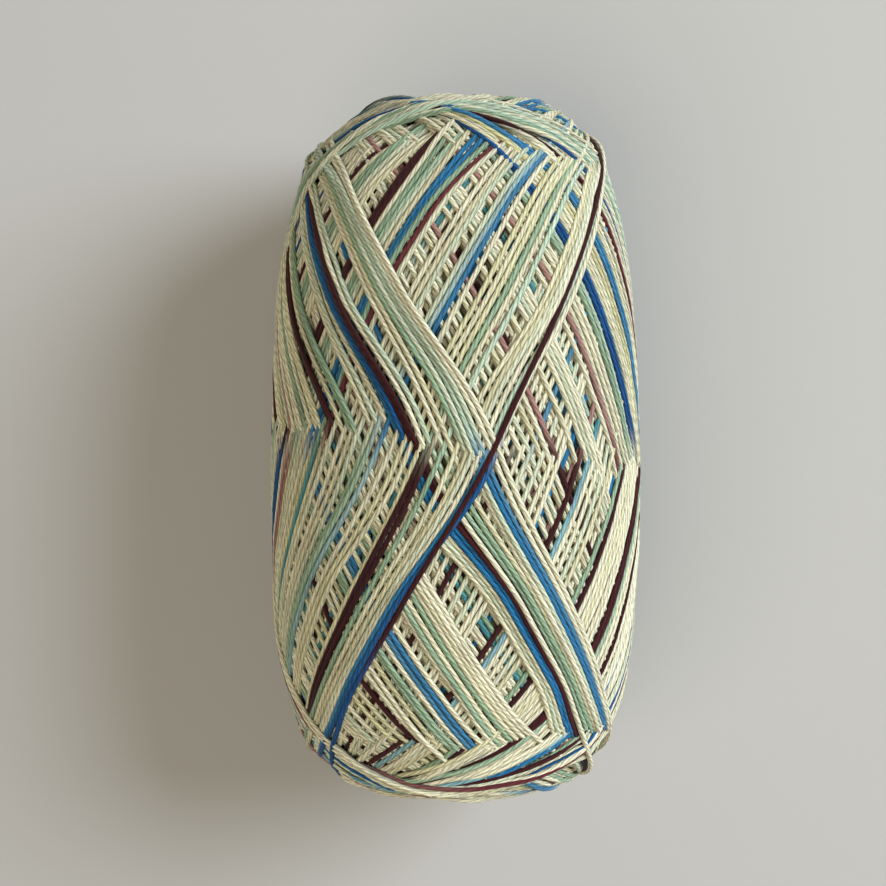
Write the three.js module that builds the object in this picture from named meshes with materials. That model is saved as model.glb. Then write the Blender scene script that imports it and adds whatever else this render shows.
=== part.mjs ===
import * as THREE from 'three';

// Centre-pull ball of wool yarn, machine wound and lying on its side.
// Millimetres, +Z up. The ball's own axis runs along Y. The origin lies on the surface
// it rests on, under the middle of the ball. The azimuth of a point is counted in degrees
// around the ball's axis from the top (+Z) towards +X.

// Overall form
const LENGTH = 138.4;
const WIDTH = 75.0;
const HEIGHT_RATIO = 0.957;
const FLAT_DEPTH = 1.9;
const END_LEAN = 0.022;

// Outline of the wound yarn from end to end: where along Y, and the radius there
const OUTLINE = [
  { y: -51.0, radius: 0.0 },
  { y: -51.2, radius: 4.5 },
  { y: -53.5, radius: 8.0 },
  { y: -59.0, radius: 9.8 },
  { y: -64.5, radius: 11.0 },
  { y: -67.6, radius: 13.0 },
  { y: -68.9, radius: 16.0 },
  { y: -68.4, radius: 19.0 },
  { y: -66.9, radius: 22.8 },
  { y: -65.2, radius: 25.4 },
  { y: -62.8, radius: 27.8 },
  { y: -59.1, radius: 30.5 },
  { y: -52.9, radius: 33.4 },
  { y: -43.0, radius: 36.0 },
  { y: -28.0, radius: 37.4 },
  { y: -7.0, radius: 37.9 },
  { y: 10.0, radius: 37.6 },
  { y: 20.5, radius: 37.2 },
  { y: 32.0, radius: 36.2 },
  { y: 43.5, radius: 34.4 },
  { y: 53.6, radius: 31.7 },
  { y: 58.8, radius: 29.3 },
  { y: 62.1, radius: 26.9 },
  { y: 65.4, radius: 23.2 },
  { y: 67.6, radius: 19.0 },
  { y: 68.7, radius: 15.5 },
  { y: 68.2, radius: 12.8 },
  { y: 65.0, radius: 11.0 },
  { y: 59.0, radius: 9.8 },
  { y: 53.5, radius: 8.0 },
  { y: 51.2, radius: 4.5 },
  { y: 51.0, radius: 0.0 },
];

// The hollow at each end is plain up to here, and the bands are at full height from here on
const HOLLOW_RADIUS = 11;
const RIM_RADIUS = 19.5;

// How the turns run: each pass from one shoulder to the other goes 120 degrees around the
// ball, and so does each pass over an end, so the turns lie in three crossing sets
const SETS = 3;
const SET_ANGLE = 360 / SETS;
const SHOULDER_Y = 58.5;
const SHOULDER_ANGLE = SET_ANGLE / 2;
const RIM_Y = 68;

// The last turn laid crosses the middle of the ball here, and the bands of turns laid
// before it stand a little higher than the older ones beside them
const LAST_TURN_AZIMUTH = 8;
const BAND_PITCH = 24;
const BAND_HEIGHT = 1.1;
const FRESH_HEIGHT = 0.9;
const FRESH_FADE = 14;
const FRESH_EDGE = 4;
const OVERLAP_FADE = 6;

// Points of the surface: around the ball, and from end to end
const COLUMNS = 105;
const ROWS = 52;

const YARN_COLOUR = 0xdcd8b6;

// Spreads the rows of points evenly along the outline.
function outlineRows() {
  const knots = OUTLINE.map(({ y, radius }) => new THREE.Vector3(y, radius, 0));
  const curve = new THREE.CatmullRomCurve3(knots, false, 'centripetal');
  return curve.getSpacedPoints(ROWS).map((point) => ({ y: point.x, radius: Math.max(point.y, 0) }));
}

// How far around the ball a turn has come since it crossed the middle, in degrees.
function turnAngle(y) {
  const reach = Math.abs(y);
  if (reach <= SHOULDER_Y) {
    return Math.sign(y) * SHOULDER_ANGLE * (reach / SHOULDER_Y);
  }
  const pastShoulder = Math.min((reach - SHOULDER_Y) / (RIM_Y - SHOULDER_Y), 1);
  return Math.sign(y) * SHOULDER_ANGLE * (1 + pastShoulder);
}

function positiveModulo(value, base) {
  return ((value % base) + base) % base;
}

// Height of the bands of turns over the outline, at one azimuth and one place along Y.
function windingRelief(azimuth, y) {
  const angle = turnAngle(y);
  const risingAge = positiveModulo(LAST_TURN_AZIMUTH - (azimuth - angle), SET_ANGLE);
  const fallingAge = positiveModulo(LAST_TURN_AZIMUTH - (azimuth + angle), SET_ANGLE);
  const risingOnTop = THREE.MathUtils.smoothstep(fallingAge - risingAge, -OVERLAP_FADE, OVERLAP_FADE);
  const band = (turn) => 0.5 + 0.5 * Math.cos((2 * Math.PI * turn) / BAND_PITCH);
  const bands = THREE.MathUtils.lerp(band(azimuth + angle), band(azimuth - angle), risingOnTop);
  const age = Math.min(risingAge, fallingAge);
  const edge = THREE.MathUtils.smoothstep(SET_ANGLE - age, 0, FRESH_EDGE);
  const fresh = Math.exp(-age / FRESH_FADE) * edge;
  return BAND_HEIGHT * (bands - 0.5) + FRESH_HEIGHT * fresh;
}

// The yarn's surface: the outline turned around the axis, raised along the bands, pressed
// a little lower than it is wide, and flat where it rests.
function woundBallGeometry() {
  const rows = outlineRows();
  const widest = Math.max(...rows.map((row) => row.radius));
  const longest = Math.max(...rows.map((row) => row.y)) - Math.min(...rows.map((row) => row.y));
  const scale = WIDTH / 2 / (widest + BAND_HEIGHT / 2);
  const stretch = LENGTH / longest;
  const axisHeight = (WIDTH / 2) * HEIGHT_RATIO - FLAT_DEPTH;
  const inner = rows.slice(1, -1);
  const positions = [];
  inner.forEach(({ y, radius }) => {
    const onOutside = THREE.MathUtils.smoothstep(radius, HOLLOW_RADIUS, RIM_RADIUS);
    for (let column = 0; column < COLUMNS; column += 1) {
      const azimuth = (360 * column) / COLUMNS;
      const raised = (radius + onOutside * windingRelief(azimuth, y)) * scale;
      const x = raised * Math.sin(THREE.MathUtils.degToRad(azimuth));
      const z = raised * Math.cos(THREE.MathUtils.degToRad(azimuth)) * HEIGHT_RATIO;
      const lean = y > 0 ? END_LEAN * x * (y / RIM_Y) ** 2 : 0;
      positions.push(x, y * stretch + lean, Math.max(z + axisHeight, 0));
    }
  });
  const lowEnd = inner.length * COLUMNS;
  const highEnd = lowEnd + 1;
  positions.push(0, rows[0].y * stretch, axisHeight);
  positions.push(0, rows[ROWS].y * stretch, axisHeight);

  const triangles = [];
  for (let column = 0; column < COLUMNS; column += 1) {
    const next = (column + 1) % COLUMNS;
    triangles.push(lowEnd, next, column);
    for (let row = 0; row < inner.length - 1; row += 1) {
      const here = row * COLUMNS;
      const above = here + COLUMNS;
      triangles.push(here + column, here + next, above + next);
      triangles.push(here + column, above + next, above + column);
    }
    const last = (inner.length - 1) * COLUMNS;
    triangles.push(highEnd, last + column, last + next);
  }
  const geometry = new THREE.BufferGeometry();
  geometry.setAttribute('position', new THREE.Float32BufferAttribute(positions, 3));
  geometry.setIndex(triangles);
  geometry.computeBoundingBox();
  const middle = geometry.boundingBox.getCenter(new THREE.Vector3());
  geometry.translate(-middle.x, -middle.y, 0);
  geometry.computeVertexNormals();
  return geometry;
}

const yarn = new THREE.MeshStandardMaterial({ color: YARN_COLOUR, roughness: 0.95, metalness: 0 });
const ball = new THREE.Mesh(woundBallGeometry(), yarn);
ball.name = 'wound_yarn';

const group = new THREE.Group();
group.name = 'ball_of_yarn';
group.add(ball);

export default group;
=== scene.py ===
# Skein of self-striping wool yarn, machine wound and lying on its side, seen from straight above.
#
# The strand is wound turn by turn, in the order a winding machine lays it, onto a map of
# the skein's surface. The map holds the height of the yarn wound so far, so that each new
# turn lies over the older ones, taut between the high spots.
#
# Sizes are in millimetres and become metres where a mesh is made. +Y is the winding axis,
# and its +Y end is at the top of the picture. Azimuth 0 is the line along the top of the
# skein (+Z), and azimuth grows towards +X.

import math

import bpy
import numpy as np
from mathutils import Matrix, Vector


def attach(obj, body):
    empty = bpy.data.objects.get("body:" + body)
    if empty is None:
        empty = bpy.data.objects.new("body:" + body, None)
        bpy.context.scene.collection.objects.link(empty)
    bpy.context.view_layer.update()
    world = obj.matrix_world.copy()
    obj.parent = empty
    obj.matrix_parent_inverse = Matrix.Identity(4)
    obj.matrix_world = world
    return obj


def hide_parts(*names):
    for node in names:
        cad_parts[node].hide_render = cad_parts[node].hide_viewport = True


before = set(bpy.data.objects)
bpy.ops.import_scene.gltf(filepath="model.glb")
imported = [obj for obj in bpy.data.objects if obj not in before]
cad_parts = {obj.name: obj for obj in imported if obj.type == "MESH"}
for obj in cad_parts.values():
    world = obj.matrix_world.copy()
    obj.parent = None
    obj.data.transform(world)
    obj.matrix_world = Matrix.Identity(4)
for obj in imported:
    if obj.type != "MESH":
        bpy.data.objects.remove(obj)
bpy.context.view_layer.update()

MM = 0.001
SEED = 11

# The skein's form, in the same sizes as its solid
LENGTH = 135.8
WIDTH = 75.0
HEIGHT_RATIO = 0.957
FLAT_DEPTH = 1.9
END_LEAN = 0.022
RIM_Y = 68.0

# Outline of the wound yarn from end to end: where along Y, and the radius there
OUTLINE = np.array([
    # y, radius
    (-51.0, 0.0), (-51.2, 4.5), (-53.5, 8.0), (-59.0, 9.8), (-64.5, 11.0), (-67.6, 13.0),
    (-68.9, 16.0), (-68.4, 19.0), (-66.9, 22.8), (-65.2, 25.4), (-62.8, 27.8), (-59.1, 30.5),
    (-52.9, 33.4), (-43.0, 36.0), (-28.0, 37.4), (-7.0, 37.9), (10.0, 37.6), (20.5, 37.2),
    (32.0, 36.2), (43.5, 34.4), (53.6, 31.7), (58.8, 29.3), (62.1, 26.9), (65.4, 23.2),
    (67.6, 19.0), (68.7, 15.5), (68.2, 12.8), (65.0, 11.0), (59.0, 9.8), (53.5, 8.0),
    (51.2, 4.5), (51.0, 0.0),
])
ROUNDING = 2.0

# The strand, pressed a little flat by its neighbours
STRAND_WIDTH = 1.02
STRAND_THICKNESS = 0.82
TUBE_SIDES = 6

# How the turns run. From the middle of the skein to where a turn comes nearest the axis
# it goes 120 degrees around, so that the turns lie in three crossing sets. What does that
# is sought between two values, by halving.
QUARTER_ANGLE = math.radians(120)
SET_ANGLE = 120.0
MIDDLE_RADII = (8.0, 30.0)
HALVINGS = 18
BEND_Y = 60.0
LONGEST_REACH = 140
MOST_STEPS = 900
TURN_STEP = 0.3
QUARTER_POINTS = 330
HALF_POINTS = 2 * QUARTER_POINTS
HALVES_TO_NEIGHBOUR = 6
PASSES_IN_SET = 47
LAYERS = 2.0

# The radius where a turn comes nearest the axis, at the +Y end (1) and the -Y end (-1): the
# one that the charted passes are drawn for, and the real one, by how many turns ago the
# turn was wound. It sways from turn to turn, and early turns come nearer the axis.
TURNING_RADII = (13, 15, 17, 19, 21, 23, 25, 27)
CHARTED_RADIUS = {1: 19.3, -1: 21.8}
TURNING_AGES = (1, 2, 27, 40, 54, 78, 110, 150)
TURNING_RADIUS = {
    1: (20.0, 22.5, 25.0, 24.0, 21.5, 18.6, 20.5, 18.5),
    -1: (20.0, 24.0, 25.0, 25.0, 24.5, 24.0, 22.5, 21.0),
}
TURNING_SWAY = 0.8
SWAY_PACES = (0.13, 1.71)
TURNING_SPREAD = 0.4
EARLY_NEARER = 4.5
EARLY_SHARE = 0.4

# The end of the strand, tucked into the hollow
TUCK_POINTS = 110
TUCK_LENGTH = 9.0

# Early turns around the hollow at each end: how far out and in they reach, how their depth
# lessens, how round they are, and in radians how they follow each other, run and sway
HOLLOW_FROM = 60.0
LINING_TURNS = 70
LINING_POINTS = 400
LINING_RIM = 17.0
LINING_DEEP = 5.0
LINING_RISE = 1.3
LINING_SPREAD = (0.75, 1.0)
LINING_ROUNDNESS = 0.8
LINING_STEP = 2.4
LINING_SWEEP = (3.3, 4.4)
LINING_SWAY = 0.05
LINING_SWAY_PACE = 9

# Neighbouring turns lie in groups of one to four. Degrees from one to the next in a group,
# and across the gap to the next group.
TOUCHING_STEP = 1.70
TOUCHING_SPREAD = (0.97, 1.1)
GAP_STEPS = (2.6, 5.2)
GROUP_SIZES = (1, 2, 3, 4)
GROUP_SHARES = (0.22, 0.36, 0.27, 0.15)
STEPS_TO_SPARE = 4

# How the strand drifts, alike in neighbours
DRIFTS = (
    # half turns to a change, neighbours to a change, size
    (15, 0.3, 0.12), (1.0, 0.1, 0.10),
)

# The passes that the picture shows, the last one wound first. Azimuths in degrees, less the
# slant of the pass: above the middle of the skein, at its middle and below it, or one that
# holds for all three. Then the dyes above and below, cream where none is named.
RISING_AHEAD = (
    # above, middle, below, dye above, dye below
    (10.9, 10.3, 8.0, "maroon", "maroon"), (13.7, 11.4, 6.6, "cream", "cobalt"),
    (12.4, 9.0, 5.2, "mint", "azure"), (9.3, 7.2, 4.2), (8.0, 5.3, 2.7), (6.7, 3.2, 0.7),
    (5.4, 0.8, -1.6), (-3.2, -3.4, -3.7, "mint", "sage"), (-6.2, -6.2, -6.4, "cream", "maroon"),
    (-8.1, -7.8, -7.8, "sage", "maroon"), (-10.3, -9.6, -9.5), (-12.4, -12.6, -19.0),
    (-15.0, -15.4, -21.2), (-20.0, -18.6, -23.4), (-23.1, -22.8, -28.4, "azure", "sky"),
    (-24.7, -25.4, -30.4, "sky", "sage"), (-26.7, -27.4, -32.0, "cream", "sage"),
    (-31.8, -31.0, -34.6), (-34.0, -33.6, -36.8), (-36.2, -36.2, -39.0), (-44.0, -40.0, -42.5),
    (-45.5, -42.6, -44.6, "rust"), (-47.4, -45.0, -46.8, "sage", "teal"),
    (-49.1, -47.0, -48.6, "azure"), (-50.6, -49.4, -50.6, "azure"), (-52.6, -51.6, -52.6),
    (-54.7, -53.8, -54.8), (-56.4, -56.0, -57.0, "sage"), (-58.0, -58.0, -59.0, "sage", "pink"),
    (-60.2, -60.2, -61.2, "cream", "pink"), (-61.9, -62.4, -63.4, "maroon"),
    (-63.5, -65.0, -66.0, "maroon", "cobalt"), (-72.3, -69.0, -70.0, "cream", "cobalt"),
    (-74.3, -72.0, -73.0), (-77.0, -75.5, -76.0), (-79.5, -78.5, -79.0, "sage"),
    (-82.0, -81.5, -82.0, "sage"), (-84.5, -84.0, -84.5), (-87.0, "maroon"),
)
FALLING_AHEAD = (
    (7.1, 10.6, 10.9), (5.7, 8.5, 8.9), (4.4, 6.6, 7.2, "cream", "azure"),
    (3.1, 5.0, 5.6, "mint", "azure"), (1.6, 3.4, 4.1), (0.1, 1.8, 2.4, "sage"),
    (-1.8, -1.9, 0.8), (-3.9, -4.2, -0.9, "cream", "sage"),
    (-11.2, -7.0, -2.3, "cream", "sage"), (-13.1, -9.4, -4.9),
    (-14.8, -11.1, -3.7, "maroon", "maroon"), (-16.0, -12.3, -5.9, "maroon", "maroon"),
    (-17.4, -14.0, -7.0, "cobalt", "azure"), (-18.7, -15.6, -8.0, "azure", "azure"),
    (-20.4, -17.6, -9.2), (-22.4, -20.3, -10.6), (-24.1, -22.2, -12.0),
    (-33.4, -28.3, -27.4, "sage"), (-35.0, -29.8, -28.9, "sage"), (-37.7, -32.9, -30.4),
    (-40.4, -35.1, -31.9, "maroon"), (-41.8, -36.5, -33.4, "maroon", "sage"),
    (-44.0, -40.4, -36.2), (-46.0, -42.4, -37.8, "cream", "sage"), (-48.0, -45.2, -39.4),
    (-50.0, -47.6, -44.8, "sage"), (-52.0, -49.6, -47.0, "cream", "azure"),
    (-54.0, -51.6, -48.6, "cream", "azure"), (-57.0, -54.4, -50.6),
    (-58.8, -56.2, -53.0, "pink", "sage"), (-61.0, -58.2, -54.8, "cream", "sage"),
    (-64.0, -61.2, -57.9), (-66.5, -63.8, -60.6), (-69.0, -66.4, -63.4),
    (-72.0, -69.4, -67.0, "maroon", "maroon"), (-75.0, -73.0, -71.0), (-78.5, -77.0, -75.0),
    (-82.0, -81.0, -80.0), (-86.0, -85.0, -84.0, "cobalt"),
)
RISING_BESIDE = (
    (88.4,), (86.0,), (83.6, "cream", "sage"), (81.3, "maroon", "maroon"),
    (79.7, "maroon", "maroon"), (76.6,), (74.5,), (72.3,), (70.3,), (68.3,), (66.4,),
    (64.6, "cream", "maroon"), (61.8, 62.4, 61.4, "cream", "sage"), (55.1,), (52.3,), (49.2,),
    (46.6,), (44.2, 44.2, 44.6, "teal", "sky"), (40.4, 40.4, 41.8, "pink", "maroon"),
    (32.4, 32.4, 32.0), (30.2, 30.2, 29.8), (27.4, 26.6, 27.0), (22.4, 22.2, 22.4, "azure"),
    (19.6,), (16.9, 16.9, 17.0, "cream", "maroon"), (13.8,), (10.6,),
)
FALLING_BESIDE = (
    (88.9,), (86.3, "azure"), (84.6, "azure"), (81.6,), (79.4,), (77.2,), (75.2,), (73.1,),
    (70.8, "cobalt"), (69.2, "cobalt"), (66.9, "mint"), (64.8, "sage"), (61.8,), (59.5,),
    (57.3,), (55.2, "pink", "rust"), (52.9,), (45.2,), (43.4,), (41.5,), (39.7,), (35.3,),
    (28.2, "pink", "maroon"), (25.8,), (23.6,), (19.8,), (17.6,), (13.6,),
)
FIRST_AZIMUTH = 11.0
CHART_CLEARANCE = 1.5

# A charted pass leaves its plain path between the first two distances from the middle, and
# is back on it between the last two
ASIDE_Y = (4.0, 30.0, 44.0, 62.0)

# The dyes of the newest turns over each end, the last one wound first
TOP_BAND = (
    "cream", "mint", "mint", "sage", "cream", "mint", "sage", "cream", "cream", "cobalt", "cream",
)
BOTTOM_BAND = (
    "cream", "cream", "cream", "rust", "cream", "cream", "cobalt", "cream", "cream", "maroon",
)

# The map of the surface, and how the strand is laid on it: stretch by stretch, pressed into
# what lies below, narrower where there is less room, and stiff over high spots
AROUND = 960
ALONG_STEP = 0.25
OUTLINE_POINTS = 6000
WIDE_SHARE = 0.75
STRETCH = 330
OVERLAP = 80
PRESSED_THICKNESS = 0.58
PRESSURE = 0.06
SPOT_SHARE = 0.5
ROOM_AT_MIDDLE = 34.0
LEAST_ROOM = 0.35
NEAR_AXIS = 1.0
FEEL = np.linspace(-0.30, 0.30, 5)
STAMP = np.linspace(-0.50, 0.50, 9)

# How far heights are smoothed along the strand, in steps: reach and width
AROUND_SPOT = (50, 20)
STIFFNESS = (6, 2.2)

# The floor under it all, and the level of the laid yarn over the form
FLAT_FLOOR = 0.75
FLAT_SOFTNESS = 0.5
LEVEL_WIDTH = 2.5
SURFACE_RISE = 0.35

# What is made as mesh: the strand where it comes this near the lowest height around it, in
# runs that sink at both ends, with rings as far apart as its bends allow
SHOW_REACH = 0.8
SHOW_DEPTH = 0.7
LEAST_RADIUS = 6.0
MARGIN = 6
SINK_POINTS = 6
SINK = 0.5
SHORTEST_RUN = 12
LONGEST_RUN = 1500
POINTS_BETWEEN = 20
BEND_REACH = 3
RING_ERROR = 0.05
RING_SPACING = (0.7, 3.0)
FACET = 1.05
TIP = 0.4
LOWEST = 0.02
PIECE_FACES = 180000

# The strand's rows on its flat sheet: how wide for their number, and the room around them
SHEET_ROW = 3.3
SHEET_START = 1.0
SHEET_SPARE = 6.0
SHEET_EDGE = 0.06

# The older turns under the strands
CORE_HEIGHT = 0.25
CORE_COLUMN = 4
CORE_ROW = 7
CORE_TIP = 3.0
CORE_RADIUS = 30.0

# Beyond here, along Y, a charted dye gives way to the next one, which takes this long
CHART_END = (67.5, 69.0)
DYE_FADE = 2.5

# The last turn comes in with another dye, up to here
LAST_DYE = "cobalt"
LAST_DYE_Y = 36.0
LAST_DYE_FADE = 7.0

# The twist of the strand, how it sways, and its fibres and patches, by the millimetre
PLIES = 4
PLY_SPACING = 2.4
PLY_DEPTH = 0.10
PLY_ROUNDNESS = 0.7
SWAY_RATE = 0.35
SWAY = 1.6
FIBRE_RATE = 0.7
FIBRES_ACROSS = 6.0
FIBRE_SCALE = 1.6
FIBRE_HEIGHT = 0.5
PATCH_RATE = 0.12
WOOL_SPECULAR = 0.25
SHEEN_ROUGHNESS = 0.5

# How much each of these scales the wool's colour, and the least it leaves: painted shade in the
# crevices between the plies and along the strand's sides, and the fibres' and patches' own uneven
# tone.
PLY_PAINTED_SHADE = (0.62, 0.44)
FIBRE_LIGHT = (1.3, 0.35)
PATCH_LIGHT = (0.7, 0.62)
SIDE_PAINTED_SHADE = (0.40, 0.64)

# The look of the older turns: lines across and along, by the millimetre, and colours. The colours are
# painted shade, far darker than the wool's own, and darker still in the crevices between the lines.
INNER_LINES = (0.9, 0.5)
INNER_PATCH_RATE = 0.4
INNER_PATCH_LIGHT = (0.6, 0.4)
INNER_LINE_LIGHT = (0.6, 0.25)
INNER_DEPTH = 0.4
INNER_PAINTED_SHADE_DARK = (0.035, 0.030, 0.015, 1)
INNER_PAINTED_SHADE_PALE = (0.42, 0.38, 0.22, 1)

# The picture
PICTURE_PIXELS = 886
PIXELS_PER_MM = 4.88
MIDDLE_PIXEL = (455.0, 446.0)
CAMERA_HEIGHT = 300.0
SENSOR_WIDTH = 36.0
CLIPPING = (0.02, 20.0)
FLOOR_REACH = 2.0
FLOOR_COLOUR = (0.50, 0.492, 0.478, 1)
ROOM_COLOUR = (1.0, 0.90, 0.70, 1)
ROOM_STRENGTH = 0.22
LIT_PLACE = (0, 0, 30)
LIGHTS = (
    # name, place, size in metres, watts, colour
    ("window", (1100, 450, 900), 0.9, 25.4, (0.88, 0.955, 1.03)),
    ("ceiling", (-550, -600, 1300), 1.4, 10.5, (1.0, 0.92, 0.78)),
)

rng = np.random.default_rng(SEED)


# The surface that the turns are laid on

def hermite(knots, values, at):
    """Reads a smooth curve through the values at the knots."""
    slope = np.gradient(values, knots)
    i = np.clip(np.searchsorted(knots, at) - 1, 0, len(knots) - 2)
    span = knots[i + 1] - knots[i]
    u = (at - knots[i]) / span
    return ((2 * u**3 - 3 * u**2 + 1) * values[i] + (u**3 - 2 * u**2 + u) * span * slope[i]
            + (3 * u**2 - 2 * u**3) * values[i + 1] + (u**3 - u**2) * span * slope[i + 1])


def bell(reach, width):
    """Weights that fall off to both sides and add up to 1."""
    weights = np.exp(-0.5 * (np.arange(-reach, reach + 1) / width) ** 2)
    return weights / weights.sum()


def blurred(values, width):
    """Smooths a row of values, width counted in values, with its ends held."""
    reach = int(3 * width)
    padded = np.pad(values, reach, mode="reflect", reflect_type="odd")
    return np.convolve(padded, bell(reach, width), "valid")


def smoothed(values, reach, width):
    """Smooths a row of values that goes on level past its ends."""
    return np.convolve(np.pad(values, reach, mode="edge"), bell(reach, width), "valid")


class Outline:
    """The outline by its own length, counted from the widest part towards +Y."""

    def __init__(self):
        knots = np.r_[0, np.cumsum(np.hypot(*np.diff(OUTLINE, axis=0).T) ** 0.5)]
        fine = np.linspace(0, knots[-1], OUTLINE_POINTS)
        y = hermite(knots, OUTLINE[:, 0], fine)
        r = hermite(knots, OUTLINE[:, 1], fine)
        length = np.r_[0, np.cumsum(np.hypot(np.diff(y), np.diff(r)))]
        even = np.arange(0, length[-1], ALONG_STEP)
        self.y = blurred(np.interp(even, length, y), ROUNDING / ALONG_STEP)
        self.r = np.maximum(blurred(np.interp(even, length, r), ROUNDING / ALONG_STEP), 0.0)
        wide = self.r > WIDE_SHARE * self.r.max()
        self.s = even - np.interp(0, self.y[wide], even[wide])
        scale = WIDTH / 2 / self.r.max()
        self.r *= scale
        self.y *= LENGTH / (self.y.max() - self.y.min())
        dy = np.gradient(self.y, self.s)
        dr = np.gradient(self.r, self.s)
        self.slope = dr
        self.out_r = dy / np.hypot(dy, dr)
        self.bend = -np.gradient(np.arctan2(dr, dy), self.s)

    def read(self, values, s):
        """Reads one of its rows of values at an outline length."""
        return np.interp(s, self.s, values)


outline = Outline()
ALONG = len(outline.s)
AXIS_HEIGHT = WIDTH / 2 * HEIGHT_RATIO - FLAT_DEPTH


def soft_floor(z, floor, softness):
    """Keeps heights above a floor, rounding the edge of the flat spot."""
    return floor + softness * np.logaddexp(0, (z - floor) / softness)


def surface_grid():
    """Points and outward directions of the skein's surface, by azimuth and outline length."""
    azimuth = np.arange(AROUND)[:, None] * (2 * math.pi / AROUND)
    x = outline.r[None] * np.sin(azimuth)
    z = outline.r[None] * np.cos(azimuth) * HEIGHT_RATIO + AXIS_HEIGHT
    y = np.repeat(outline.y[None], AROUND, axis=0)
    y = y + np.where(y > 0, END_LEAN * x * (y / RIM_Y) ** 2, 0)
    z = soft_floor(z, FLAT_FLOOR, FLAT_SOFTNESS)
    points = np.stack([x, y, z], axis=-1)
    across = np.roll(points, -1, axis=0) - np.roll(points, 1, axis=0)
    along = np.gradient(points, axis=1)
    out = np.cross(across, along)
    out /= np.maximum(np.linalg.norm(out, axis=-1, keepdims=True), 1e-9)
    return points, out


def grid_place(azimuth, s):
    """Column and row of the map at an azimuth in radians and an outline length."""
    column = azimuth * (AROUND / (2 * math.pi))
    row = (s - outline.s[0]) / ALONG_STEP
    return column, np.clip(row, 0, ALONG - 1.001)


def nearest_cell(azimuth, s):
    """Number of the map's nearest point."""
    column, row = grid_place(azimuth, s)
    return (np.rint(column).astype(int) % AROUND) * ALONG + np.rint(row).astype(int)


def read_grid(grid, azimuth, s):
    """Reads the map between its points."""
    column, row = grid_place(azimuth, s)
    c = np.floor(column).astype(int)
    r = np.floor(row).astype(int)
    u = column - c
    v = row - r
    if grid.ndim == 3:
        u = u[..., None]
        v = v[..., None]
    c0 = c % AROUND
    c1 = (c + 1) % AROUND
    low = grid[c0, r] * (1 - u) + grid[c1, r] * u
    high = grid[c0, r + 1] * (1 - u) + grid[c1, r + 1] * u
    return low * (1 - v) + high * v


# The path of the strand

def smooth_step(u):
    """Goes smoothly from 0 to 1 as u does."""
    u = np.clip(u, 0.0, 1.0)
    return u * u * (3 - 2 * u)


def ramp(at, start, stop):
    """Goes smoothly from 0 at the start to 1 at the stop."""
    return smooth_step((at - start) / (stop - start))


def quarter_turn(middle, turning, end):
    """Half of a turn over one end: azimuth, outline length and heading, step by step.

    The heading is the angle to the outline. Radius times its sine would stay the same along
    a strand that only tension holds, and here it goes from one value to another, because
    wool grips."""
    reach = np.arange(0, LONGEST_REACH, TURN_STEP)
    r = outline.read(outline.r, end * reach).tolist()
    slope = (outline.read(outline.slope, end * reach) * end).tolist()
    hold = smooth_step(np.abs(outline.read(outline.y, end * reach)) / BEND_Y)
    grip = (np.gradient(hold, TURN_STEP) * (turning - middle)).tolist()
    azimuth = 0.0
    s = 0.0
    heading = math.asin(middle / r[0])
    path = []
    while heading < math.pi / 2 and len(path) < MOST_STEPS:
        path.append((azimuth, s, heading))
        i = int(s / TURN_STEP)
        heading += TURN_STEP * (grip[i] - slope[i] * math.sin(heading)) / r[i]
        azimuth += TURN_STEP * math.sin(heading) / r[i]
        s += TURN_STEP * math.cos(heading)
    return np.array(path)


def half_turn(turning, end):
    """A turn over one end, from the middle of the skein and back to it."""
    low, high = MIDDLE_RADII
    for _ in range(HALVINGS):
        middle = (low + high) / 2
        path = quarter_turn(middle, turning, end)
        if path[-1, 0] < QUARTER_ANGLE:
            low = middle
        else:
            high = middle
    back = path[::-1].copy()
    back[:, 0] = 2 * path[-1, 0] - back[:, 0]
    back[:, 2] = math.pi - back[:, 2]
    whole = np.concatenate([path, back[1:]])
    whole[:, 0] *= 2 * QUARTER_ANGLE / whole[-1, 0]
    at = np.linspace(0, len(whole) - 1, HALF_POINTS + 1)[:-1]
    return np.stack([np.interp(at, np.arange(len(whole)), whole[:, k]) for k in range(3)])


half_turns = {end: np.array([half_turn(radius, end) for radius in TURNING_RADII])
              for end in (1, -1)}


def read_half_turn(turning, end):
    """The turn over one end that comes this near the axis."""
    at = np.interp(turning, TURNING_RADII, np.arange(len(TURNING_RADII)))
    i = min(int(at), len(TURNING_RADII) - 2)
    return half_turns[end][i] * (i + 1 - at) + half_turns[end][i + 1] * (at - i)


def group_steps(total):
    """Degrees between neighbouring passes, adding up to at least a total."""
    steps = []
    while sum(steps) < total:
        size = rng.choice(GROUP_SIZES, p=GROUP_SHARES)
        touching = TOUCHING_STEP * rng.uniform(*TOUCHING_SPREAD)
        steps += [touching] * (size - 1) + [rng.uniform(*GAP_STEPS)]
    return steps


def filled(row):
    """A charted pass in full: its three azimuths and both dyes."""
    azimuths = [value for value in row if not isinstance(value, str)]
    dyes = list(row[len(azimuths):])
    return (*azimuths * (3 // len(azimuths)), *dyes, *["cream"] * (2 - len(dyes)))


def pass_rows(first, charted, count, above=(), below=()):
    """All passes of a set in one direction, the last one wound first.

    The dyes named are those of the newest passes, which band the ends."""
    charted = [filled(row) for row in charted]
    rows = []
    azimuth = first
    steps = iter(group_steps(STEPS_TO_SPARE * SET_ANGLE * LAYERS))
    while charted and azimuth > charted[0][1] + CHART_CLEARANCE:
        rows.append((azimuth, azimuth, azimuth, None, None))
        azimuth -= next(steps)
    rows += charted
    if rows:
        azimuth = rows[-1][1]
    while len(rows) < count:
        azimuth -= next(steps)
        rows.append((azimuth, azimuth, azimuth, None, None))
    for number, dye in enumerate(above):
        rows[number] = rows[number][:3] + (dye, rows[number][4])
    for number, dye in enumerate(below):
        rows[number] = rows[number][:4] + (dye,)
    return rows[:count]


# Dyes, as colours on the wool in daylight

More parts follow.
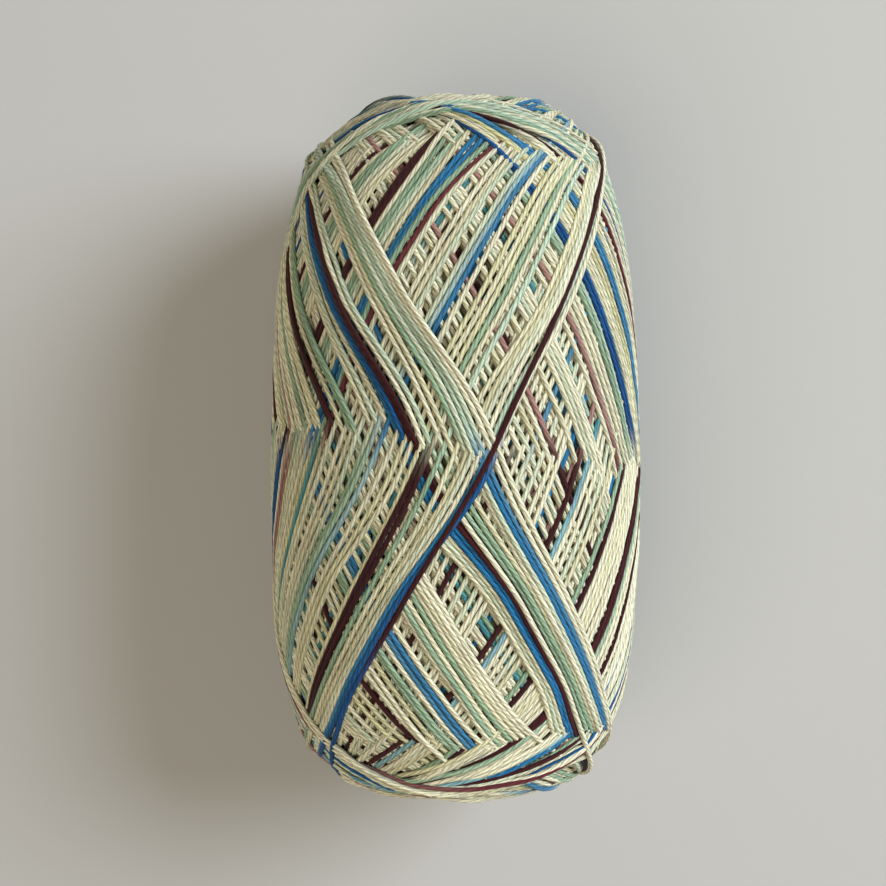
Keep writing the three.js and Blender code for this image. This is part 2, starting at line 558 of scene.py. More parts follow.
def linear(code):
    """A colour written as six hexadecimal digits, as the shader wants it."""
    shares = [int(code[k:k + 2], 16) / 255 for k in (0, 2, 4)]
    return [share / 12.92 if share < 0.04 else ((share + 0.055) / 1.055) ** 2.4 for share in shares]


DYES = {
    "cream": "EBE6C8",
    "ecru": "CDC69B",
    "straw": "DBD6A0",
    "dew": "C3D3B8",
    "mint": "BDD4BD",
    "sage": "92AE8E",
    "teal": "4A9098",
    "sky": "86B4BE",
    "azure": "2273A5",
    "cobalt": "16528E",
    "maroon": "380E12",
    "rust": "682A30",
    "pink": "AA8078",
}
DYES = {name: np.array(linear(code)) for name, code in DYES.items()}

CREAM_TINTS = ("ecru", "straw", "dew", "cream", "cream")

# What each dye is like where the wool took less of it. The square of PALENESS is the most
# that a stretch goes that way.
PALER = {
    "maroon": "rust",
    "rust": "pink",
    "cobalt": "azure",
    "azure": "sky",
    "teal": "sky",
    "sage": "mint",
    "sky": "cream",
    "mint": "cream",
}
PALENESS = 0.62

# Lengths of the stretches of one dye and of the changes between them, and how much darker
# or lighter a stretch may be
CREAM_LENGTHS = (120, 520)
DYED_LENGTHS = (25, 90)
FADE_LENGTHS = (5, 14)
RANDOM_SPREAD = (0.9, 1.08)
CHARTED_SPREAD = (0.9, 1.1)

# The dyes that come one after the other along the wool
RUNS = (
    ("sage", "mint"), ("sage", "teal", "azure"), ("azure", "cobalt"), ("maroon",),
    ("maroon", "rust", "pink"), ("mint",), ("teal", "sky"), ("sage",), ("azure",),
)


def random_dyes(length):
    """Colour along a strand of self-striping wool, by its length in millimetres."""
    knots, colours = [0.0], [DYES["cream"]]

    def add(name, size, fade):
        shade = DYES[name] * rng.uniform(*RANDOM_SPREAD)
        knots.extend([knots[-1] + fade, knots[-1] + fade + size])
        colours.extend([shade, shade])

    while knots[-1] < length[-1]:
        add("cream", rng.uniform(*CREAM_LENGTHS), rng.uniform(*FADE_LENGTHS))
        for name in RUNS[rng.integers(len(RUNS))]:
            add(name, rng.uniform(*DYED_LENGTHS), rng.uniform(*FADE_LENGTHS))
    colours = np.array(colours)
    return np.stack([np.interp(length, knots, colours[:, k]) for k in range(3)], axis=1)


def shade_of(name):
    """The dye as it took on one stretch of wool."""
    if name == "cream":
        tint = DYES[CREAM_TINTS[rng.integers(len(CREAM_TINTS))]]
        return DYES[name] + (tint - DYES[name]) * rng.uniform(0, 1)
    return DYES[name] * rng.uniform(*CHARTED_SPREAD)


def wander(t, across, along, size):
    """Smooth drift of the strand: alike in turns that lie side by side.

    t is counted in half turns, and the turns of a set come back after six of them."""
    columns = round(HALVES_TO_NEIGHBOUR / along)
    knots = rng.normal(size=(int(t.max() / across) + 3, columns))
    u = t / across
    v = (t % HALVES_TO_NEIGHBOUR) / along
    i = u.astype(int)
    j = v.astype(int)
    fu = smooth_step(u - i)
    fv = smooth_step(v - j)
    j %= columns
    k = (j + 1) % columns
    return size * ((knots[i, j] * (1 - fu) + knots[i + 1, j] * fu) * (1 - fv)
                   + (knots[i, k] * (1 - fu) + knots[i + 1, k] * fu) * fv)


def plan_crossings():
    """Where the strand crosses the middle of the skein, the last crossing first."""
    count = int(PASSES_IN_SET * LAYERS)
    sets = (
        pass_rows(FIRST_AZIMUTH, RISING_AHEAD, count),
        pass_rows(FIRST_AZIMUTH + SET_ANGLE, FALLING_BESIDE, count, above=TOP_BAND),
        pass_rows(FIRST_AZIMUTH + 2 * SET_ANGLE, (), count, above=TOP_BAND),
        pass_rows(FIRST_AZIMUTH, FALLING_AHEAD, count),
        pass_rows(FIRST_AZIMUTH + SET_ANGLE, RISING_BESIDE, count, below=BOTTOM_BAND),
        pass_rows(FIRST_AZIMUTH + 2 * SET_ANGLE, (), count, below=BOTTOM_BAND),
    )
    crossings = []
    for number in range(HALVES_TO_NEIGHBOUR * count):
        rows = sets[number % HALVES_TO_NEIGHBOUR]
        above, middle, below, dye_above, dye_below = rows[number // HALVES_TO_NEIGHBOUR]
        before = crossings[-1][0] if crossings else middle + 2 * SET_ANGLE
        turns = round((before - 2 * SET_ANGLE - middle) / 360)
        crossings.append((middle + 360 * turns, above - middle, below - middle, dye_above, dye_below))
    return crossings


def aside(y):
    """How fully a pass stands aside from its plain path, by its distance from the middle."""
    return ramp(y, *ASIDE_Y[:2]) * (1 - ramp(y, *ASIDE_Y[2:]))


def charted_slant(end):
    """Distance from the middle, and how far around the pass has come there."""
    turn, s = read_half_turn(CHARTED_RADIUS[end], end)[:2, :QUARTER_POINTS]
    y = np.maximum.accumulate(np.abs(outline.read(outline.y, end * s)))
    return y, turn


def plan_turning(number, count, end):
    """The radius where one of all half turns comes nearest the axis, the oldest first."""
    age = (count - number) / 2
    radius = np.interp(age, TURNING_AGES, TURNING_RADIUS[end])
    sway = sum(TURNING_SWAY * math.sin(age * pace) for pace in SWAY_PACES)
    early = EARLY_NEARER * (1 - smooth_step(number / (EARLY_SHARE * count)))
    return radius + sway - early + TURNING_SPREAD * rng.normal()


def plan_strand():
    """The whole strand, oldest turn first: azimuth, outline length and the way it goes.

    Gives its colours too."""
    crossings = plan_crossings()[::-1]
    crossings.append((crossings[-1][0] + 2 * SET_ANGLE, 0, 0, None, None))
    charted_slants = {end: charted_slant(end) for end in (1, -1)}
    count = len(crossings) - 1
    parts = []
    halves = []
    for number in range(count):
        start, stop = crossings[number:number + 2]
        end = 1 if (count - number) % 2 else -1
        turn, s, heading = read_half_turn(plan_turning(number, count, end), end)
        share = turn / (2 * QUARTER_ANGLE)
        y = np.abs(outline.read(outline.y, end * s))
        first = np.arange(HALF_POINTS) < QUARTER_POINTS
        plain = np.degrees(np.where(first, turn, 2 * turn[QUARTER_POINTS] - turn))
        slant = np.degrees(np.interp(y, *charted_slants[end])) - plain
        which = 1 if end > 0 else 2
        shift = aside(y) * np.where(first, start[which] + slant, stop[which] - slant)
        azimuth = start[0] + share * (stop[0] - start[0]) + shift
        parts.append(np.stack([np.radians(azimuth), end * s, np.sin(heading), end * np.cos(heading)]))
        halves.append((start, stop, end, y))
    strand = np.concatenate(parts, axis=1)[:, :TUCK_POINTS - QUARTER_POINTS]
    tuck = smooth_step(np.arange(TUCK_POINTS) / TUCK_POINTS)
    strand[1, -TUCK_POINTS:] += TUCK_LENGTH * tuck
    t = np.arange(strand.shape[1]) / HALF_POINTS
    strand[0] += sum(wander(t, *sizes) for sizes in DRIFTS) / outline.r.max()
    return strand, dye_strand(halves)[:strand.shape[1]]


def dye_strand(halves):
    """Colour all along the strand: charted where the picture shows it."""
    colours = random_dyes(np.arange(len(halves) * HALF_POINTS) * TURN_STEP)
    shades = {}
    for number, (start, stop, end, y) in enumerate(halves):
        which = 3 if end > 0 else 4
        for quarter, crossing in enumerate((start, stop)):
            dye = crossing[which]
            if dye is None:
                continue
            key = (number + quarter, dye)
            if key not in shades:
                shades[key] = (shade_of(dye), rng.uniform(0, PALENESS) ** 2)
            shade, middle = shades[key]
            pale = np.linspace(middle, rng.uniform(0, PALENESS) ** 2, QUARTER_POINTS)[:, None]
            here = shade + (DYES[PALER.get(dye, dye)] - shade) * pale[::1 - 2 * quarter]
            first = quarter * QUARTER_POINTS
            reach = y[first:first + QUARTER_POINTS]
            keep = (1 - ramp(reach, *CHART_END))[:, None]
            first += number * HALF_POINTS
            rows = slice(first, first + QUARTER_POINTS)
            colours[rows] = colours[rows] * (1 - keep) + here * keep
    rows = slice(-HALF_POINTS - QUARTER_POINTS, -HALF_POINTS)
    low = smooth_step((halves[-2][3][QUARTER_POINTS:] - LAST_DYE_Y) / LAST_DYE_FADE)[:, None]
    colours[rows] = colours[rows] * (1 - low) + DYES[LAST_DYE] * low
    return blurred_rows(colours, DYE_FADE / TURN_STEP)


def blurred_rows(values, width):
    """Smooths each column of values."""
    return np.stack([blurred(values[:, k], width) for k in range(values.shape[1])], axis=1)


def plan_lining(end):
    """Turns from early in the winding, which line the hollow at one end."""
    parts = []
    rim = np.interp(LINING_RIM, *hollow_rows(end))
    deep = np.interp(LINING_DEEP, *hollow_rows(end))
    for number in range(LINING_TURNS):
        depth = 1 - (number / LINING_TURNS) ** LINING_RISE * rng.uniform(*LINING_SPREAD)
        low = rim + (deep - rim) * depth
        u = np.linspace(0, 1, LINING_POINTS)
        s = rim + (low - rim) * np.sin(math.pi * u) ** LINING_ROUNDNESS
        azimuth = LINING_STEP * number + u * rng.uniform(*LINING_SWEEP)
        azimuth += LINING_SWAY * np.sin(LINING_SWAY_PACE * u + number)
        r = outline.read(outline.r, s)
        around = np.gradient(azimuth) * r
        along = np.gradient(s)
        size = np.hypot(around, along)
        parts.append(np.stack([azimuth, s, around / size, along / size]))
    return parts


def hollow_rows(end):
    """Outline length by radius, from the axis to the rim of one end's hollow."""
    rows = outline.s * end > HOLLOW_FROM
    s = outline.s[rows]
    r = outline.r[rows]
    order = np.argsort(np.abs(s))[::-1]
    s, r = s[order], r[order]
    rim = np.argmax(r > LINING_RIM)
    return np.maximum.accumulate(r[:rim + 1]), s[:rim + 1]


# Laying the strand

def taut(floor, bend):
    """Lowest path over a floor that bends no more than a taut strand does."""
    fall = np.cumsum(np.cumsum(bend)) * TURN_STEP**2
    rise = floor - fall
    hull = []
    for i, value in enumerate(rise.tolist()):
        while len(hull) > 1:
            (a, at_a), (b, at_b) = hull[-2], hull[-1]
            if (at_b - at_a) * (i - a) > (value - at_a) * (b - a):
                break
            hull.pop()
        hull.append((i, value))
    at, high = zip(*hull)
    return np.interp(np.arange(len(rise)), at, high) + fall


def section(lateral):
    """Height of the pressed strand's upper side over its middle, a little way across it."""
    share = np.clip(np.asarray(lateral) / (STRAND_WIDTH / 2), -1, 1)
    return PRESSED_THICKNESS / 2 * np.sqrt(1 - share**2)


def pressed(floor):
    """The floor with its high spots pressed down towards the height around them."""
    usual = smoothed(floor, *AROUND_SPOT)
    return np.where(floor > usual, usual + (floor - usual) * SPOT_SHARE, floor)


def cells_across(strand, lateral):
    """Cells of the map under the strand, at some distances to its side.

    Where the turns of a set run closer together, they are pressed narrower."""
    azimuth, s, around, along = strand
    r = np.maximum(outline.read(outline.r, s), NEAR_AXIS)
    room = np.clip(r * np.abs(along) / ROOM_AT_MIDDLE, LEAST_ROOM, 1.0)[:, None] * lateral
    return nearest_cell(azimuth[:, None] + (along / r)[:, None] * room,
                        s[:, None] - around[:, None] * room)


def lay_strand(heights, strand):
    """Lays the strand stretch by stretch. Gives the height of its middle over the base."""
    count = strand.shape[1]
    r = outline.read(outline.r, strand[1])
    bend = (strand[2] ** 2 * outline.read(outline.out_r, strand[1]) / r
            + strand[3] ** 2 * outline.read(outline.bend, strand[1]) + PRESSURE)
    height = np.zeros(count)
    before = None
    for start in range(0, count, STRETCH):
        stop = min(start + STRETCH, count)
        first = max(start - OVERLAP, 0)
        last = min(stop + OVERLAP, count)
        floor = (heights[cells_across(strand[:, first:last], FEEL)] + section(FEEL)).max(axis=1)
        level = smoothed(taut(pressed(floor), bend[first:last]), *STIFFNESS)
        height[start:stop] = level[start - first:stop - first]
        if before is not None:
            stamp(heights, strand[:, before], height[before])
        before = slice(start, stop)
    stamp(heights, strand[:, before], height[before])
    return height


def stamp(heights, strand, height):
    """Raises the map to the upper side of a stretch of strand."""
    cells = cells_across(strand, STAMP)
    np.maximum.at(heights, cells.ravel(), (height[:, None] + section(STAMP)).ravel())


def lay_lining(heights, strand):
    """Lays a turn of the lining, which isn't taut. Gives the height of its middle."""
    floor = (heights[cells_across(strand, FEEL)] + section(FEEL)).max(axis=1)
    height = smoothed(smoothed(floor, *STIFFNESS), *STIFFNESS)
    stamp(heights, strand, height)
    return height


def lowest_around(top, reach):
    """Lowest height of the map within a reach in millimetres, but for the narrowest slits."""
    filled = np.maximum(top, np.maximum(np.roll(top, 1, axis=0), np.roll(top, -1, axis=0)))
    top = filled.copy()
    top[:, 1:] = np.maximum(top[:, 1:], filled[:, :-1])
    top[:, :-1] = np.maximum(top[:, :-1], filled[:, 1:])
    low = top.copy()
    rows = round(reach / ALONG_STEP)
    for k in range(1, rows + 1):
        low[:, k:] = np.minimum(low[:, k:], top[:, :-k])
        low[:, :-k] = np.minimum(low[:, :-k], top[:, k:])
    columns = reach / np.maximum(outline.r, LEAST_RADIUS) * (AROUND / (2 * math.pi))
    wide = low.copy()
    for k in range(1, int(columns.max()) + 1):
        some = columns >= k
        for step in (k, -k):
            wide[:, some] = np.minimum(wide[:, some], np.roll(low[:, some], step, axis=0))
    return wide


# Meshes

def face_values(shape, *corners):
    """One value for each corner of each face, for faces in rows of this shape."""
    return np.stack([np.broadcast_to(corner, shape) for corner in corners], axis=-1).reshape(-1)


def face_rows(kinds):
    """From a table of kinds of faces, the rows of values that all faces have of each sort."""
    shapes, *columns = zip(*kinds)
    return [np.concatenate([face_values(shape, *values) for shape, values in zip(shapes, column)])
            for column in columns]


def turn_rings(middle, out, ends):
    """Corners of a ring around each point of the stretches, and then those of the tips."""
    first, last = ends
    sizes = last - first + 1
    ahead = np.minimum(np.arange(len(middle)) + 1, last.repeat(sizes))
    behind = np.maximum(np.arange(len(middle)) - 1, first.repeat(sizes))
    forward = middle[ahead] - middle[behind]
    forward /= np.linalg.norm(forward, axis=1, keepdims=True)
    side = np.cross(forward, out)
    side /= np.linalg.norm(side, axis=1, keepdims=True)
    up = np.cross(side, forward)
    turn = np.arange(TUBE_SIDES) * (2 * math.pi / TUBE_SIDES) + math.pi / TUBE_SIDES
    wide = STRAND_WIDTH / 2 * FACET * np.cos(turn)
    thick = STRAND_THICKNESS / 2 * FACET * np.sin(turn)
    points = middle[:, None] + side[:, None] * wide[:, None] + up[:, None] * thick[:, None]
    tips = [middle[first] - TIP * forward[first], middle[last] + TIP * forward[last]]
    corners = np.concatenate([points.reshape(-1, 3)] + tips)
    corners[:, 2] = np.maximum(corners[:, 2], LOWEST)
    return corners


def lay_on_sheet(u, v, before):
    """Lays the strand out in rows on a square sheet: where each corner of a face falls."""
    u = u - before.min()
    before = before - before.min()
    total = before.max() + 1
    row_length = math.sqrt(total * SHEET_ROW)
    row = np.floor(before / row_length)
    rows = math.ceil(total / row_length) + 1
    return ((u - row * row_length + SHEET_START) / (row_length + SHEET_SPARE),
            (row + SHEET_EDGE + (1 - 2 * SHEET_EDGE) * v) / rows)


class Tubes:
    """Many stretches of strand as one mesh."""

    def __init__(self):
        self.rings = []
        self.faces = 0

    def add(self, middle, out, dye, start):
        """A stretch through the given points, with fewer rings where it bends less."""
        reach = BEND_REACH
        away = np.zeros(len(middle))
        turn = middle[2 * reach:] - 2 * middle[reach:-reach] + middle[:-2 * reach]
        away[reach:-reach] = np.linalg.norm(turn, axis=1) / (reach * TURN_STEP) ** 2
        kernel = np.ones(2 * reach + 1) / (2 * reach + 1)
        away = np.convolve(np.pad(away, reach, mode="edge"), kernel, "valid")
        spacing = np.clip(np.sqrt(8 * RING_ERROR / np.maximum(away, 1e-6)), *RING_SPACING)
        step = np.linalg.norm(np.diff(middle, axis=0), axis=1)
        count = np.r_[0, np.cumsum(step / spacing[1:])]
        rings = max(int(math.ceil(count[-1])) + 1, 3)
        at = np.interp(np.linspace(0, count[-1], rings), count, np.arange(len(middle)))
        i = np.minimum(at.astype(int), len(middle) - 2)
        share = (at - i)[:, None]
        read = [values[i] * (1 - share) + values[i + 1] * share for values in (middle, out, dye)]
        self.rings.append(read + [(at + start) * TURN_STEP])
        self.faces += 2 * TUBE_SIDES * rings

    def mesh(self, name):
        """The mesh of all stretches, each closed by a tip at both ends."""
        middle, out, dye, length = (np.concatenate(values) for values in zip(*self.rings))
        last = np.cumsum([len(ring[0]) for ring in self.rings]) - 1
        first = np.r_[0, last[:-1] + 1]
        inner = np.setdiff1d(np.arange(len(middle)), last)
        quads = (len(inner), TUBE_SIDES)
        tips = (len(first), TUBE_SIDES)

        j = np.arange(TUBE_SIDES)
        k = (j + 1) % TUBE_SIDES
        here = inner[:, None] * TUBE_SIDES
        there = here + TUBE_SIDES
        tip = len(middle) * TUBE_SIDES + np.arange(len(first))[:, None]
        head = first[:, None] * TUBE_SIDES
        tail = last[:, None] * TUBE_SIDES
        low = j / TUBE_SIDES
        high = (j + 1) / TUBE_SIDES
        between = (low + high) / 2
        near = length[inner][:, None]
        far = length[inner + 1][:, None]
        begin = length[first][:, None]
        finish = length[last][:, None]
        loops, u, v, before = face_rows((
            # shape, corners, places along the strand and around it, and where the face begins
            (quads, (here + j, there + j, there + k, here + k),
             (near, far, far, near), (low, low, high, high), (near,) * 4),
            (tips, (tip, head + j, head + k),
             (begin - TIP, begin, begin), (between, low, high), (begin,) * 3),
            (tips, (tail + j, tip + len(first), tail + k),
             (finish, finish + TIP, finish), (low, between, high), (finish,) * 3),
        ))
        face_sizes = np.repeat([4, 3], [len(inner) * TUBE_SIDES, 2 * len(first) * TUBE_SIDES])
        made = make_mesh(name, turn_rings(middle, out, (first, last)), loops, face_sizes)
        set_uv(made, "Strand", u, v)
        set_uv(made, "OFBake", *lay_on_sheet(u, v, before))
        set_colours(made, np.concatenate([dye.repeat(TUBE_SIDES, axis=0), dye[first], dye[last]]))
        return made


def make_mesh(name, corners, loops, face_sizes):
    """A mesh in metres from corners in millimetres and the corners of each face in a row."""
    mesh = bpy.data.meshes.new(name)
    mesh.vertices.add(len(corners))
    mesh.vertices.foreach_set("co", (corners * MM).astype(np.float32).ravel())
    mesh.loops.add(len(loops))
    mesh.loops.foreach_set("vertex_index", loops.astype(np.int32))
    mesh.polygons.add(len(face_sizes))
    starts = np.r_[0, np.cumsum(face_sizes)[:-1]].astype(np.int32)
    mesh.polygons.foreach_set("loop_start", starts)
    mesh.update(calc_edges=True)
    mesh.validate()
    mesh.polygons.foreach_set("use_smooth", np.ones(len(face_sizes), bool))
    return mesh


def set_uv(mesh, name, u, v):
    """Adds a flat map, with a place for each corner of each face."""
    layer = mesh.uv_layers.new(name=name)
    layer.uv.foreach_set("vector", np.stack([u, v], axis=1).astype(np.float32).ravel())


def set_colours(mesh, colours):
    """Keeps the dye of each corner with the mesh."""
    layer = mesh.color_attributes.new("Dye", "FLOAT_COLOR", "POINT")
    full = np.concatenate([colours, np.ones((len(colours), 1))], axis=1)
    layer.data.foreach_set("color", full.astype(np.float32).ravel())


def new_object(name, data):
    """Adds a mesh, a camera or a lamp to the scene."""
    made = bpy.data.objects.new(name, data)
    bpy.context.scene.collection.objects.link(made)
    return made


def make_piece(name, mesh, material):
    """A piece of the skein, which takes its finish from the yarn."""
    piece = new_object(name, mesh)
    mesh.materials.append(material)
    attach(piece, "root")
    return piece


# Materials

class Shader:
    """A material and its nodes, added as they are made."""

    def __init__(self, name, roughness, sheen):
        self.material = bpy.data.materials.new(name)
        self.material.use_nodes = True
        self.tree = self.material.node_tree
        self.surface = self.tree.nodes["Principled BSDF"]
        self.surface.inputs["Roughness"].default_value = roughness
        self.surface.inputs["Specular IOR Level"].default_value = WOOL_SPECULAR
        self.surface.inputs["Sheen Weight"].default_value = sheen
        self.surface.inputs["Sheen Roughness"].default_value = SHEEN_ROUGHNESS

    def node(self, kind, **settings):
        """Adds a node."""
        made = self.tree.nodes.new(kind)
        for name, value in settings.items():
            setattr(made, name, value)
        return made

    def put(self, value, socket):
        """Links a socket, or sets it to a number or colour."""
        if isinstance(value, bpy.types.NodeSocket):
            self.tree.links.new(value, socket)
        else:
            socket.default_value = value

    def math(self, operation, *values):
        """Works out a number from others."""
        made = self.node("ShaderNodeMath", operation=operation)
        for value, socket in zip(values, made.inputs):
            self.put(value, socket)
        return made.outputs[0]

    def lobe(self, share):
        """A round hump from a share that goes from 0 to 1."""
        across = self.math("MULTIPLY_ADD", share, 2.0, -1.0)
        return self.math("SUBTRACT", 1.0, self.math("MULTIPLY", across, across))

    def mix(self, share, first, second, blend="MIX"):
        """Mixes two colours."""
        made = self.node("ShaderNodeMix", data_type="RGBA", blend_type=blend)
        self.put(share, made.inputs[0])
        self.put(first, made.inputs[6])
        self.put(second, made.inputs[7])
        return made.outputs[2]

    def noise(self, vector, scale, detail=2.0):
        """A soft random pattern."""
        made = self.node("ShaderNodeTexNoise")
        self.put(vector, made.inputs["Vector"])
        made.inputs["Scale"].default_value = scale
        made.inputs["Detail"].default_value = detail
        return made.outputs["Fac"]

    def combine(self, x, y, z=0.0):
        """A place or a colour from its three numbers."""
        made = self.node("ShaderNodeCombineXYZ")
        for value, socket in zip((x, y, z), made.inputs):
            self.put(value, socket)
        return made.outputs[0]

    def uv(self, name):
        """Both numbers of a flat map."""
        source = self.node("ShaderNodeUVMap", uv_map=name)
        parts = self.node("ShaderNodeSeparateXYZ")
        self.put(source.outputs[0], parts.inputs[0])
        return parts.outputs[0], parts.outputs[1]

    def bump(self, height, distance):
        """Gives the surface this relief."""
        made = self.node("ShaderNodeBump")
        made.inputs["Distance"].default_value = distance
        self.put(height, made.inputs["Height"])
        self.put(made.outputs[0], self.surface.inputs["Normal"])


def plied_wool():
    """Four plies twisted together, with loose fibres along them, and painted shade in the crevices
    between the plies and along the strand's sides.
    """
    shader = Shader("plied_wool", roughness=0.92, sheen=0.08)
    u, v = shader.uv("Strand")
    turns = shader.math("MULTIPLY_ADD", u, 1 / PLY_SPACING, shader.math("MULTIPLY", v, -PLIES))
    sway = shader.noise(shader.combine(shader.math("MULTIPLY", u, SWAY_RATE), v), 1.0)
    turns = shader.math("MULTIPLY_ADD", sway, SWAY, turns)
    lobe = shader.lobe(shader.math("FRACT", turns))
    along = shader.math("MULTIPLY", u, FIBRE_RATE)
    across = shader.math("MULTIPLY", turns, FIBRES_ACROSS)
    fibres = shader.noise(shader.combine(along, across), FIBRE_SCALE, detail=3.0)
    patches = shader.noise(shader.combine(shader.math("MULTIPLY", u, PATCH_RATE), 0.0), 1.0)
    depth = shader.math("POWER", shader.math("MAXIMUM", lobe, 0.0), PLY_ROUNDNESS)
    # Painted shade: the strand's colour is lighter on its top and bottom and darker along its sides,
    # by the place around the tube.
    upper = shader.math("ABSOLUTE", shader.math("SINE", shader.math("MULTIPLY", v, 2 * math.pi)))
    # Painted shade: the wool's colour is darkened in the crevices between the plies, where depth is
    # low.
    light = shader.math("MULTIPLY_ADD", depth, *PLY_PAINTED_SHADE)
    for share, lit in ((fibres, FIBRE_LIGHT), (patches, PATCH_LIGHT), (upper, SIDE_PAINTED_SHADE)):
        light = shader.math("MULTIPLY", light, shader.math("MULTIPLY_ADD", share, *lit))
    dye = shader.node("ShaderNodeAttribute", attribute_name="Dye").outputs["Color"]
    shade = shader.combine(light, light, light)
    shader.put(shader.mix(1.0, dye, shade, "MULTIPLY"), shader.surface.inputs["Base Color"])
    height = shader.math("MULTIPLY_ADD", fibres, FIBRE_HEIGHT, depth)
    shader.bump(height, PLY_DEPTH * MM)
    return shader.material


def inner_wool_painted_shade():
    """Older turns, seen only through the gaps between the strands, in colours of painted shade."""
    shader = Shader("inner_wool_painted_shade", roughness=0.95, sheen=0.1)
    u, v = shader.uv("Strand")
    across, along = (shader.math("MULTIPLY", place, rate) for place, rate in zip((u, v), INNER_LINES))
    lobe = shader.lobe(shader.math("FRACT", shader.math("ADD", across, along)))
    patches = shader.noise(shader.combine(u, v), INNER_PATCH_RATE)
    # Painted shade: the colour goes towards the darker one in the crevices between the lines, and the
    # patches make it darker in places.
    shade = shader.math("MULTIPLY", shader.math("MULTIPLY_ADD", lobe, *INNER_LINE_LIGHT),
                        shader.math("MULTIPLY_ADD", patches, *INNER_PATCH_LIGHT))
    shader.put(shader.mix(shade, INNER_PAINTED_SHADE_DARK, INNER_PAINTED_SHADE_PALE), shader.surface.inputs["Base Color"])
    shader.bump(lobe, INNER_DEPTH * MM)
    return shader.material


def floor_surface():
    """Plain pale tabletop."""
    shader = Shader("floor", roughness=0.8, sheen=0.0)
    shader.surface.inputs["Base Color"].default_value = FLOOR_COLOUR
    return shader.material


# The pieces

def place(points, out, azimuth, s, lift):
    """Points over the skein's surface, and which way is out."""
    away = read_grid(out, azimuth, s)
    away /= np.maximum(np.linalg.norm(away, axis=-1, keepdims=True), 1e-9)
    return read_grid(points, azimuth, s) + away * lift[..., None], away


def shown_runs(shown):
    """Each stretch that shows, a little longer than it shows: its first point, the one after
    its last, and how deep its points sink where it goes under other turns."""
    grown = np.convolve(shown.astype(float), np.ones(2 * MARGIN + 1), "same") > 0.5
    edges = np.flatnonzero(np.diff(np.r_[0, grown.astype(np.int8), 0])).reshape(-1, 2)
    fade = SINK * (1 - smooth_step(np.arange(SINK_POINTS) / SINK_POINTS))
    for start, stop in edges:
        cuts = np.linspace(start, stop - 1, (stop - start) // LONGEST_RUN + 2).astype(int)
        for first, after in zip(cuts[:-1], cuts[1:] + 1):
            if after - first < SHORTEST_RUN:
                continue
            sunk = np.zeros(after - first)
            if first == start and first > 0:
                sunk[:SINK_POINTS] = fade
            if after == stop and after < len(shown):
                sunk[-SINK_POINTS:] = fade[::-1]
            yield first, after, sunk


def make_strands(strands, points, out, top, level, material):
    """All stretches of strand that show, shared out over a few meshes."""
    lowest = lowest_around(top, SHOW_REACH)
    shares = [Tubes()]
    base = 0
    for strand, height, dye in strands:
        azimuth, s = strand[:2]
        shown = height + STRAND_THICKNESS / 2 > read_grid(lowest, azimuth, s) - SHOW_DEPTH
        lift = height - outline.read(level, s) - SURFACE_RISE
        middle, away = place(points, out, azimuth, s, lift)
        for start, stop, sunk in shown_runs(shown):
            path = middle[start:stop] - away[start:stop] * sunk[:, None]
            shares[-1].add(path, away[start:stop], dye[start:stop], base + start)
            if shares[-1].faces > PIECE_FACES:
                shares.append(Tubes())
        base += len(s) + POINTS_BETWEEN
    pieces = []
    for number, tubes in enumerate(shares):
        if tubes.faces:
            name = f"strands_{number + 1}"
            pieces.append(make_piece(name, tubes.mesh(name), material))
    return pieces


def core_corners(points, out, level, columns, rows):
    """Corners of the older turns' surface, column by column, and then one at each end."""
    lift = CORE_HEIGHT - level[rows] - SURFACE_RISE
    away = out[columns][:, rows].copy()
    near_axis = outline.r[rows] < CORE_TIP
    away[:, near_axis] = 0.0
    away[:, near_axis, 1] = np.sign(outline.s[rows])[near_axis]
    corners = points[columns][:, rows] + away * lift[None, :, None]
    corners[..., 2] = np.maximum(corners[..., 2], LOWEST)
    tips = np.stack([corners[:, 0].mean(axis=0), corners[:, -1].mean(axis=0)])
    return np.concatenate([corners.reshape(-1, 3), tips])


def make_core(points, out, level, material):
    """The older turns under the strands, as one closed surface."""
    columns = np.arange(0, AROUND, CORE_COLUMN)
    rows = np.unique(np.r_[np.arange(0, ALONG, CORE_ROW), ALONG - 1])
    corners = core_corners(points, out, level, columns, rows)
    across, along = len(columns), len(rows)
    quads = (along - 1, across)
    here = np.arange(across) * along
    there = (np.arange(across) + 1) % across * along
    r = np.arange(along - 1)[:, None]
    near = columns * (2 * math.pi / AROUND) * CORE_RADIUS
    far = near + near[1]
    between = near + near[1] / 2
    s = outline.s[rows]
    low, high = s[:-1, None], s[1:, None]
    loops, u, v = face_rows((
        # shape, corners, places around the skein and along it
        (quads, (here + r, here + r + 1, there + r + 1, there + r),
         (near, near, far, far), (low, high, high, low)),
        (across, (len(corners) - 2, here, there),
         (between, near, far), (s[0] - 1, s[0], s[0])),
        (across, (here + along - 1, len(corners) - 1, there + along - 1),
         (near, between, far), (s[-1], s[-1] + 1, s[-1])),
    ))
    sizes = np.repeat([4, 3], [(along - 1) * across, 2 * across])
    mesh = make_mesh("inner_turns", corners, loops, sizes)
    set_uv(mesh, "Strand", u, v)
    return make_piece("inner_turns", mesh, material)


def make_floor():
    """The tabletop that the skein lies on."""
    mesh = bpy.data.meshes.new("floor")
    corners = [(x * FLOOR_REACH, y * FLOOR_REACH, 0) for x, y in ((-1, -1), (1, -1), (1, 1), (-1, 1))]
    mesh.from_pydata(corners, [], [(0, 1, 2, 3)])
    floor = new_object("floor", mesh)
    mesh.materials.append(floor_surface())


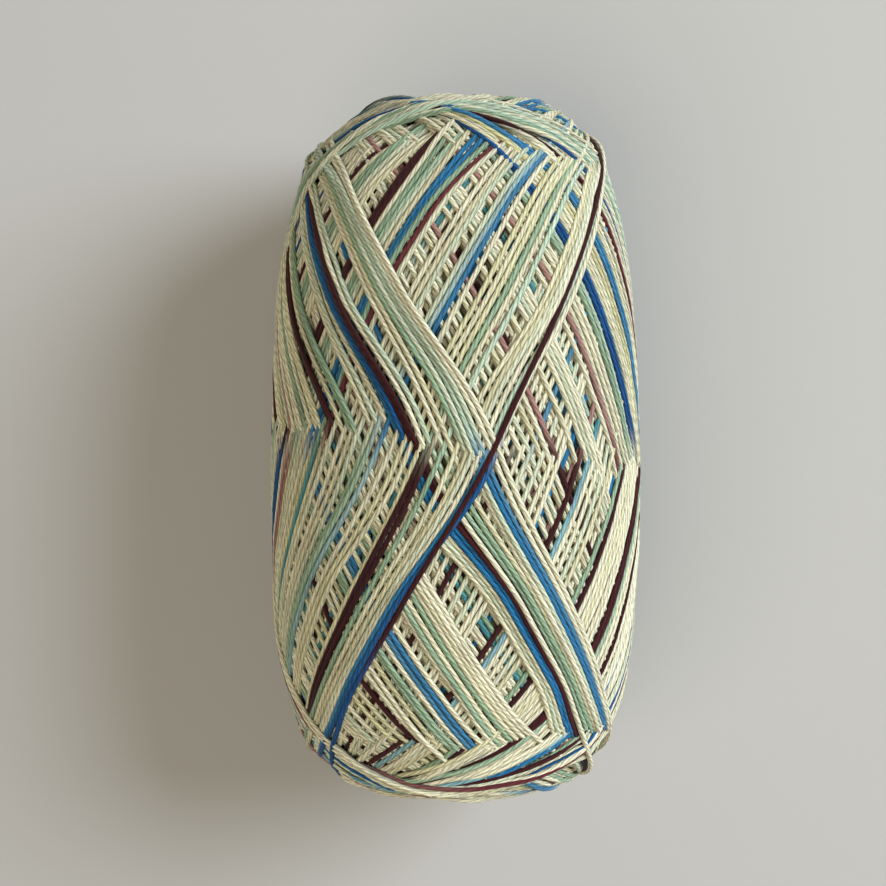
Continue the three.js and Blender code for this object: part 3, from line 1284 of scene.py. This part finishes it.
def make_camera():
    """Looks straight down, from where the photograph was taken."""
    data = bpy.data.cameras.new("camera")
    camera = new_object("camera", data)
    half = PICTURE_PIXELS / 2
    x = (half - MIDDLE_PIXEL[0]) / PIXELS_PER_MM
    y = (MIDDLE_PIXEL[1] - half) / PIXELS_PER_MM
    camera.location = Vector((x, y, AXIS_HEIGHT + CAMERA_HEIGHT)) * MM
    data.sensor_width = SENSOR_WIDTH
    data.lens = data.sensor_width * CAMERA_HEIGHT * PIXELS_PER_MM / PICTURE_PIXELS
    data.clip_start, data.clip_end = CLIPPING
    bpy.context.scene.camera = camera


def make_light(name, place_mm, size, power, colour):
    """A round lamp that points at the skein."""
    data = bpy.data.lights.new(name, "AREA")
    data.shape = "DISK"
    data.size = size
    data.energy = power
    data.color = colour
    lamp = new_object(name, data)
    lamp.location = Vector(place_mm) * MM
    way = Vector(LIT_PLACE) * MM - lamp.location
    lamp.rotation_euler = way.to_track_quat("-Z", "Y").to_euler()


def make_lights():
    """The room's own light, a window to the right and the ceiling."""
    world = bpy.data.worlds.new("room")
    world.use_nodes = True
    background = world.node_tree.nodes["Background"]
    background.inputs["Color"].default_value = ROOM_COLOUR
    background.inputs["Strength"].default_value = ROOM_STRENGTH
    bpy.context.scene.world = world
    for light in LIGHTS:
        make_light(*light)
    view = bpy.context.scene.view_settings
    view.view_transform = "Standard"
    view.look = "None"


def main():
    """Winds the skein, makes its pieces and sets up the picture."""
    heights = np.zeros(AROUND * ALONG)
    lining = [path for end in (1, -1) for path in plan_lining(end)]
    strands = [(path, lay_lining(heights, path)) for path in lining]
    strand, colours = plan_strand()
    strands.append((strand, lay_strand(heights, strand)))
    top = heights.reshape(AROUND, ALONG)
    level = blurred(top.mean(axis=0), LEVEL_WIDTH / ALONG_STEP)

    points, out = surface_grid()
    dyed = []
    for path, height in strands[:-1]:
        dyed.append((path, height, random_dyes(np.arange(path.shape[1]) * TURN_STEP)))
    dyed.append(strands[-1] + (colours,))
    wool = plied_wool()
    pieces = make_strands(dyed, points, out, top, level, wool)
    pieces.append(make_core(points, out, level, inner_wool_painted_shade()))
    for piece in pieces:
        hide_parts("wound_yarn")
    make_floor()
    make_lights()
    make_camera()


main()
